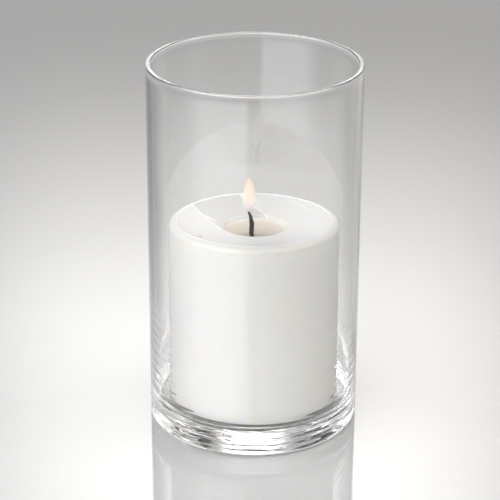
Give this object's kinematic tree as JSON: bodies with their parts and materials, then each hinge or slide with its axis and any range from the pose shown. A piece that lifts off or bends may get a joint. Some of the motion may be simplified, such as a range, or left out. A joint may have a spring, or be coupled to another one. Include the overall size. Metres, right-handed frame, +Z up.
{
  "type": "hurricane candle lantern",
  "caption": "Clear straight-sided glass cylinder with a heavy base, holding a loose white pillar candle with a melted well, wick and flame.",
  "frame": {"origin": "centre of the glass's underside, at the level of the ring it stands on", "axes": "+Z up along the glass's axis, -Y towards the front, where the candle's top is highest, +X to the right"},
  "size_m": [0.0864, 0.0864, 0.1524],
  "materials": {
    "clear_glass": "clear, smooth, slightly wavy near the base",
    "poured_wax": "white paraffin wax, satin, translucent",
    "shell_wax": "white over-dipped wax, smooth, satin, translucent",
    "liquid_wax": "liquid wax, clear and glossy",
    "cotton_wick": "braided cotton, burnt black at the free end",
    "tinplate": "thin tinplate, dull",
    "flame": "candle flame, in the visual model only"
  },
  "bodies": {
    "glass": {"glass_cylinder": "clear_glass"},
    "candle": {"wax_core": "poured_wax", "wax_shell": "shell_wax", "wax_pool": "liquid_wax", "wick": "cotton_wick", "wick_sustainer": "tinplate"}
  },
  "joints": [
    {"name": "candle_lift", "type": "slide", "parent": "glass", "child": "candle", "axis": [0, 0, 1], "range_m": [0, 0.15]}
  ]
}
